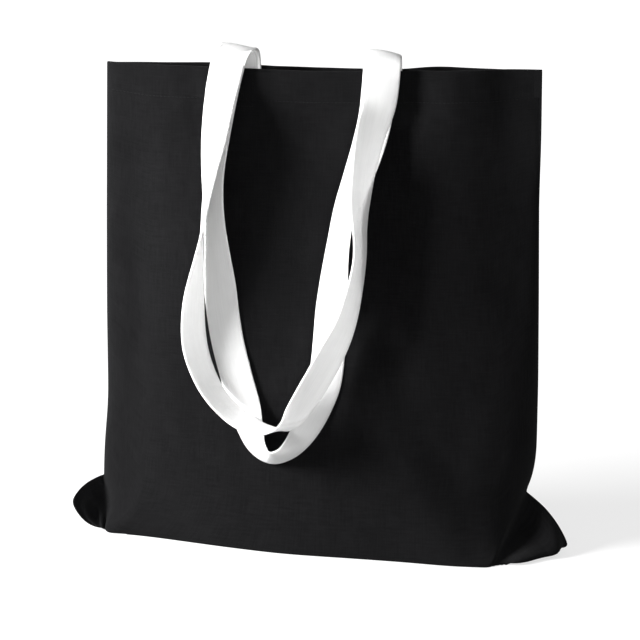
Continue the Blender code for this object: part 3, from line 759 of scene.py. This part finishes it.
def strap_line(name, route, axis, leg_y, tail_y):
    """Centres, across directions and curl of one handle, from one sewn end to the other."""
    stations = catmull(route, ROUTE_STEPS)
    xs, zs, clears = stations[:, 0] / 1000, stations[:, 1] / 1000, stations[:, 3] / 1000
    leans = np.radians(stations[:, 2])
    along = np.gradient(np.stack([xs, zs], axis=1), axis=0)
    along /= np.linalg.norm(along, axis=1, keepdims=True)
    inward = np.stack([-along[:, 1], np.zeros(len(xs)), along[:, 0]], axis=1)
    across = inward * np.cos(leans)[:, None] + np.array((0.0, 1.0, 0.0)) * np.sin(leans)[:, None]
    lift = clears + STRAP_THICK / 2 + STRAP_WIDTH / 2 * np.abs(np.sin(leans))
    ys = SEAM_Y - wall_depth(xs, np.minimum(zs, STAND_HEIGHT), -1) - lift
    at_rim = smoothstep((zs - LEG_START[0]) / LEG_START[1])
    ys = lerp(ys, leg_y, at_rim)
    half = len(zs) // 2
    zs[:half] -= at_rim[:half] * (zs[0] - axis[1] + TURNS[name][-1][0])
    zs[half:] -= at_rim[half:] * (zs[-1] - axis[1] + TURNS[name][1][0])
    loop = np.stack([xs, ys, zs], axis=1)
    left, left_across, left_cup = turn_over_rim(-1, axis, TURNS[name][-1], xs[0], leg_y, tail_y)
    right, right_across, right_cup = turn_over_rim(1, axis, TURNS[name][1], xs[-1], leg_y, tail_y)
    centres = np.concatenate([left, loop, right[::-1]])
    directions = np.concatenate([left_across, across, -right_across[::-1]])
    cups = np.concatenate([left_cup, np.zeros(len(loop)), right_cup[::-1]])
    turns = [slice(1, len(left)), slice(-len(right), -1)]
    for ends in [slice(1, -1)] * LOOP_PASSES + turns * TURN_PASSES:
        even_out(centres, ends)
        even_out(directions, ends)
    return centres, directions, cups


def ribbon(name, centres, directions, cups, width, thickness, material):
    """A flat strap with rounded edges along a line of centres."""
    tangent = np.gradient(centres, axis=0)
    tangent /= np.linalg.norm(tangent, axis=1, keepdims=True)
    directions = directions - tangent * np.sum(directions * tangent, axis=1, keepdims=True)
    directions /= np.linalg.norm(directions, axis=1, keepdims=True)
    normal = np.cross(tangent, directions)
    half = thickness / 2
    flat = np.linspace(-1, 1, ACROSS + 1) * (width / 2 - half)
    profile = [(x, half * (1.0 - 0.12 * abs(x / width * 2) ** 3)) for x in flat]
    for step in range(1, EDGE_STEPS):
        angle = math.pi / 2 - math.pi * step / EDGE_STEPS
        profile.append((width / 2 - half + half * math.cos(angle), half * math.sin(angle) * 0.9))
    profile += [(x, -y) for x, y in profile[:ACROSS + 1][::-1]]
    for step in range(1, EDGE_STEPS):
        angle = -math.pi / 2 - math.pi * step / EDGE_STEPS
        profile.append((-width / 2 + half + half * math.cos(angle), half * math.sin(angle) * 0.9))
    profile = np.array(profile)
    curl = cups[:, None] * (profile[None, :, 0] * 2 / width) ** 2
    rings = (centres[:, None] + directions[:, None] * profile[None, :, 0, None]
             + normal[:, None] * profile[None, :, 1, None]
             - normal[:, None] * curl[:, :, None])
    count, size = rings.shape[:2]
    steps = np.linalg.norm(np.diff(centres, axis=0), axis=1)
    lengths = np.concatenate([[0.0], np.cumsum(steps)])
    verts = rings.reshape(-1, 3)
    index = np.arange(count * size).reshape(count, size)
    shifted = np.roll(index, -1, axis=1)
    quads = np.stack([index[:-1], index[1:], shifted[1:], shifted[:-1]], axis=-1)
    quads = quads.reshape(-1, 4).tolist()
    quads.append(index[0].tolist())
    quads.append(index[-1][::-1].tolist())
    mesh = bpy.data.meshes.new(name)
    mesh.from_pydata(verts.tolist(), [], quads)
    mesh.update()
    mesh.validate()
    coords = np.zeros((count, size, 3))
    coords[:, :, 0] = profile[None, :, 0]
    coords[:, :, 1] = lengths[:, None]
    layer = mesh.attributes.new("cloth_place", "FLOAT_VECTOR", "POINT")
    layer.data.foreach_set("vector", coords.astype(np.float32).ravel())
    mesh.shade_smooth()
    mesh.materials.append(material)
    obj = bpy.data.objects.new(name, mesh)
    bpy.context.scene.collection.objects.link(obj)
    return obj, float(lengths[-1])


for handle, route, axis, leg_y, tail_y in (
        ("front_handle", FRONT_ROUTE, FRONT_AXIS, FRONT_LEG_Y, TAIL_Y["front"]),
        ("back_handle", BACK_ROUTE, BACK_AXIS, BACK_LEG_Y, TAIL_Y["back"])):
    strap, length = ribbon(handle + "_strap", *strap_line(handle, route, axis, leg_y, tail_y),
                           STRAP_WIDTH, STRAP_THICK, webbing)
    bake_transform(strap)
    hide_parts(handle, handle + "_left_end", handle + "_right_end")
    print(handle, "length", round(length, 4))

# ---- seams and stitches --------------------------------------------------------------------
def object_from(name, verts, faces, material):
    mesh = bpy.data.meshes.new(name)
    mesh.from_pydata(verts.tolist(), [], faces)
    mesh.update()
    mesh.shade_smooth()
    mesh.materials.append(material)
    obj = bpy.data.objects.new(name, mesh)
    bpy.context.scene.collection.objects.link(obj)
    return obj


def stitch_runs(points, normals, pitch, share):
    """Starts, ends and normals of even stitches along a line."""
    points, normals = np.array(points), np.array(normals)
    steps = np.linalg.norm(np.diff(points, axis=0), axis=1)
    lengths = np.concatenate([[0.0], np.cumsum(steps)])
    count = max(1, int(round(lengths[-1] / pitch)))
    pitch = lengths[-1] / count
    begin = (np.arange(count) + (1.0 - share) / 2) * pitch
    runs = []
    for at in (begin, begin + share * pitch, begin + share * pitch / 2):
        runs.append(np.stack([np.interp(at, lengths, points[:, i]) for i in range(3)], axis=1))
    normal = np.stack([np.interp(begin, lengths, normals[:, i]) for i in range(3)], axis=1)
    return runs[0], runs[1], normal


def stitches(name, runs, radius, material):
    """One small rounded capsule per stitch, its ends pulled into the cloth."""
    starts, ends, normals = (np.concatenate([r[i] for r in runs]) for i in range(3))
    normals = normals / np.linalg.norm(normals, axis=1, keepdims=True)
    along = ends - starts
    side = np.cross(along, normals)
    side /= np.linalg.norm(side, axis=1, keepdims=True)
    rings = []
    for at, size, sink in STITCH_SHAPE:
        centre = starts + along * at - normals * (sink * radius)
        for corner in range(STITCH_SIDES):
            angle = 2 * math.pi * corner / STITCH_SIDES
            rings.append(centre + (side * math.cos(angle) + normals * math.sin(angle)) * radius * size)
    verts = np.stack(rings, axis=1).reshape(-1, 3)
    size = len(rings)
    ring_count = size // STITCH_SIDES
    faces = []
    for stitch in range(len(starts)):
        base = stitch * size
        for ring in range(ring_count - 1):
            for corner in range(STITCH_SIDES):
                a = base + ring * STITCH_SIDES + corner
                b = base + ring * STITCH_SIDES + (corner + 1) % STITCH_SIDES
                faces.append((a, b, b + STITCH_SIDES, a + STITCH_SIDES))
        faces.append(tuple(base + c for c in range(STITCH_SIDES))[::-1])
        faces.append(tuple(base + size - STITCH_SIDES + c for c in range(STITCH_SIDES)))
    return object_from(name, verts, faces, material)


def coil(name, centres, across, radius_across, radius_out, pitch, thread, material):
    """Overlocked thread wound along the raw edge of a seam allowance."""
    steps = np.linalg.norm(np.diff(centres, axis=0), axis=1)
    lengths = np.concatenate([[0.0], np.cumsum(steps)])
    count = int(lengths[-1] / pitch * COIL_STEPS)
    at = np.linspace(0.0, lengths[-1], count)
    centre = np.stack([np.interp(at, lengths, centres[:, i]) for i in range(3)], axis=1)
    reach = np.interp(at, lengths, radius_across)
    angle = 2 * math.pi * at / pitch
    line = centre + np.outer(np.cos(angle) * radius_out, across)
    line = line + np.outer(np.sin(angle), (0.0, 1.0, 0.0)) * reach[:, None]
    tangent = np.gradient(line, axis=0)
    tangent /= np.linalg.norm(tangent, axis=1, keepdims=True)
    outward = line - centre
    outward -= tangent * np.sum(outward * tangent, axis=1, keepdims=True)
    outward /= np.linalg.norm(outward, axis=1, keepdims=True)
    other = np.cross(tangent, outward)
    rings = []
    for corner in range(COIL_SIDES):
        turn = 2 * math.pi * corner / COIL_SIDES
        rings.append(line + (outward * math.cos(turn) + other * math.sin(turn)) * thread)
    rings = np.stack(rings, axis=1)
    index = np.arange(count * COIL_SIDES).reshape(count, COIL_SIDES)
    turned = np.roll(index, -1, axis=1)
    faces = np.stack([index[:-1], turned[:-1], turned[1:], index[1:]], axis=-1)
    faces = faces.reshape(-1, 4).tolist()
    faces += [index[0][::-1].tolist(), index[-1].tolist()]
    return object_from(name, rings.reshape(-1, 3), faces, material)


def hem_runs(face):
    """Stitches round the outside of one panel, through its hem."""
    grid, _ = panels["front" if face < 0 else "back"]
    row = BASE_ROWS + int(round(WALL_ROWS * (1.0 - HEM_STITCH_DROP / STAND_HEIGHT)))
    normals = grid_normals(grid) * (1.0 if face < 0 else -1.0)
    line, out = grid[row, 3:-3], normals[row, 3:-3]
    return stitch_runs(line + out * STITCH_RADIUS * 0.4, out, STITCH_PITCH, STITCH_SHARE)


def box_runs(x, y, outward):
    """A box with its cross, sewn flat in the plane y."""
    half_x, half_z = BOX_STITCH[0] / 2, BOX_STITCH[1] / 2
    middle = STAND_HEIGHT - TAIL_LENGTH / 2 - BOX_DROP
    corners = [(-1, -1), (1, -1), (1, 1), (-1, 1), (-1, -1), (1, 1), (-1, 1), (1, -1)]
    runs = []
    for (ax, az), (bx, bz) in zip(corners, corners[1:]):
        line = [(x + ax * half_x, y, middle + az * half_z),
                (x + bx * half_x, y, middle + bz * half_z)]
        runs.append(stitch_runs(line, [(0.0, outward, 0.0)] * 2, STITCH_PITCH, STITCH_SHARE))
    return runs


def seam_room(x, z):
    """Half the depth that is free between the two panels."""
    fronts = np.array([wall_depth(x, z, f) * 0.9 for f in (-1, 1)])
    return np.clip(np.min(fronts, axis=0) - CANVAS - 0.0004, 0.00025, CANVAS)


def side_allowance(side):
    """Both panels' raw edges, pressed together and standing in from the side seam."""
    count, columns = ALLOWANCE_GRID
    zs = np.linspace(EARS[side]["pinch"][2] + SEAM_FOOT, STAND_HEIGHT - HEM_HEIGHT - SEAM_HEAD, count)
    grid, coords = np.zeros((count, columns, 3)), np.zeros((count, columns, 3))
    half = np.zeros((count, columns))
    for j, share in enumerate(np.linspace(0.0, 1.0, columns)):
        inner = SEAM_START + SEAM_ALLOWANCE * share
        x = np.full(count, side * (HALF_WIDTH - inner))
        half[:, j] = seam_room(x, zs)
        wave = noise_field(np.full(count, share * 0.01), zs, 0.01, 0.035, 5.0 + side) * 0.0012 * share
        wave = np.clip(wave, -half[:, j] * 0.7, half[:, j] * 0.7)
        grid[:, j] = np.stack([x / HALF_WIDTH * half_width(x, zs), SEAM_Y + wave, zs], axis=1)
        coords[:, j, 0], coords[:, j, 1] = inner, zs
    grid[:, :, 1] -= half * 0.98
    name = "left" if side < 0 else "right"
    strip = cloth_object(name + "_seam_allowance", grid, coords, half * 1.96, canvas, flip=side > 0)
    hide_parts(name + "_side_seam")
    edge = grid[:, -1] + np.array((-side * THREAD_CLEAR, 0.0, 0.0))
    edge[:, 1] += half[:, -1] * 0.98
    loops = coil(name + "_overlock_loops", edge, (1.0, 0.0, 0.0),
                 radius_across=half[:, -1] + THREAD_CLEAR, material=dark_thread, **OVERLOCK)
    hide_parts(name + "_side_overlock")
    return [strip, loops]


def bottom_allowance():
    """Both panels' raw edges along the bottom seam, standing up inside the bag."""
    count, rows = ALLOWANCE_GRID
    top = BOTTOM_SEAM_Z + SEAM_ALLOWANCE
    xs = np.linspace(-BOTTOM_SEAM_END, BOTTOM_SEAM_END, count)
    grid, coords = np.zeros((rows, count, 3)), np.zeros((rows, count, 3))
    for i, z in enumerate(np.linspace(BOTTOM_SEAM_Z, top, rows)):
        wave = noise_field(xs, np.full(count, z), 0.035, 0.01, 9.0) * 0.003 * (z / top) ** 2
        grid[i] = np.stack([xs, SEAM_Y + wave - CANVAS, np.full(count, z)], axis=1)
        coords[i, :, 0], coords[i, :, 1] = xs, z
    strip = cloth_object("bottom_seam_allowance", grid, coords, 2 * CANVAS, canvas)
    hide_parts("bottom_seam")
    edge = grid[-1] + np.array((0.0, CANVAS, THREAD_CLEAR))
    loops = coil("bottom_overlock_loops", edge, (0.0, 0.0, 1.0),
                 radius_across=np.full(count, CANVAS + THREAD_CLEAR), material=dark_thread, **OVERLOCK)
    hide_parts("bottom_overlock")
    return [strip, loops]


inside_pieces = side_allowance(-1) + side_allowance(1) + bottom_allowance()
sewn_on = {"front": inside_pieces, "back": []}
for side_name, face in (("front", -1), ("back", 1)):
    outer_runs = [hem_runs(face)]
    for side in (-1, 1):
        tail_side = "left" if side < 0 else "right"
        inner_y = TAIL_Y[side_name] - face * (STRAP_THICK / 2 + STITCH_RADIUS * 0.5)
        inner_runs = box_runs(TAIL_X[side], inner_y, -face)
        box = stitches(side_name + "_" + tail_side + "_box", inner_runs, STITCH_RADIUS * 1.2, light_thread)
        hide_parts(side_name + "_handle_" + tail_side + "_box_stitch")
        sewn_on[side_name].append(box)
        depth = wall_depth(np.array([TAIL_X[side]]), np.array([BOX_WALL_Z]), face)
        outer_y = SEAM_Y + face * float(depth[0])
        outer_runs += box_runs(TAIL_X[side], outer_y + face * STITCH_RADIUS * 0.5, face)
    hem_line = stitches(side_name + "_hem_stitches", outer_runs, STITCH_RADIUS, dark_thread)
    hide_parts(side_name + "_hem_stitch")
    sewn_on[side_name].append(hem_line)
    for piece in sewn_on[side_name]:
        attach(piece, "root")

# ---- studio --------------------------------------------------------------------------------
scene = bpy.context.scene
scene.view_settings.view_transform = "Standard"
FLOOR_REACH = 12.0
FLOOR_Z = -0.0002


def floor_material():
    """A pale floor that fades to white away from the bag."""
    n = Nodes("studio_floor", 0.9)
    n.shader.inputs["Base Color"].default_value = (0.35, 0.35, 0.35, 1.0)
    n.shader.inputs["Emission Color"].default_value = (1.0, 1.0, 1.0, 1.0)
    seen = n.node("ShaderNodeLightPath").outputs["Is Camera Ray"]
    length = n.node("ShaderNodeVectorMath", i0=n.node("ShaderNodeNewGeometry").outputs["Position"])
    length.operation = "LENGTH"
    glow = n.remap(length.outputs["Value"], 0.30, 1.5, 0.67, 0.98)
    n.feed(n.shader.inputs["Emission Strength"], n.math("MULTIPLY", seen, glow))
    return n.material


floor_mesh = bpy.data.meshes.new("floor")
floor_mesh.from_pydata([(x * FLOOR_REACH, y * FLOOR_REACH, FLOOR_Z)
                        for x, y in ((-1, -1), (1, -1), (1, 1), (-1, 1))], [], [(0, 1, 2, 3)])
floor = bpy.data.objects.new("floor", floor_mesh)
floor_mesh.materials.append(floor_material())
scene.collection.objects.link(floor)
floor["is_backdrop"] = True

world = bpy.data.worlds.new("studio")
world.use_nodes = True
world.node_tree.nodes["Background"].inputs["Color"].default_value = (1.0, 1.0, 1.0, 1.0)
world.node_tree.nodes["Background"].inputs["Strength"].default_value = 0.38
scene.world = world


def area_light(name, place, target, size, power):
    data = bpy.data.lights.new(name, "AREA")
    data.shape = "DISK"
    data.size = size
    data.energy = power
    light = bpy.data.objects.new(name, data)
    light.location = place
    light.rotation_euler = (Vector(target) - Vector(place)).to_track_quat("-Z", "Y").to_euler()
    scene.collection.objects.link(light)
    return light


key = area_light("key", (-1.05, -0.44, 0.62), (-0.05, 0.0, 0.16), 0.5, 44.0)
key.visible_camera = False
area_light("fill", (1.2, -2.2, 0.9), (0.0, 0.0, 0.15), 1.6, 9.0)

AZIMUTH = math.radians(8.0)
ELEVATION = math.radians(14.5)
DISTANCE = 1.8
TARGET = Vector((0.0, SEAM_Y, 0.174))
back = Vector((math.sin(AZIMUTH) * math.cos(ELEVATION),
               -math.cos(AZIMUTH) * math.cos(ELEVATION),
               math.sin(ELEVATION)))
camera_data = bpy.data.cameras.new("camera")
camera_data.lens = 133.2
camera_data.sensor_width = 36.0
camera = bpy.data.objects.new("camera", camera_data)
camera.location = TARGET + back * DISTANCE
camera.rotation_euler = (-back).to_track_quat("-Z", "Y").to_euler()
scene.collection.objects.link(camera)
scene.camera = camera

low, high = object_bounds()
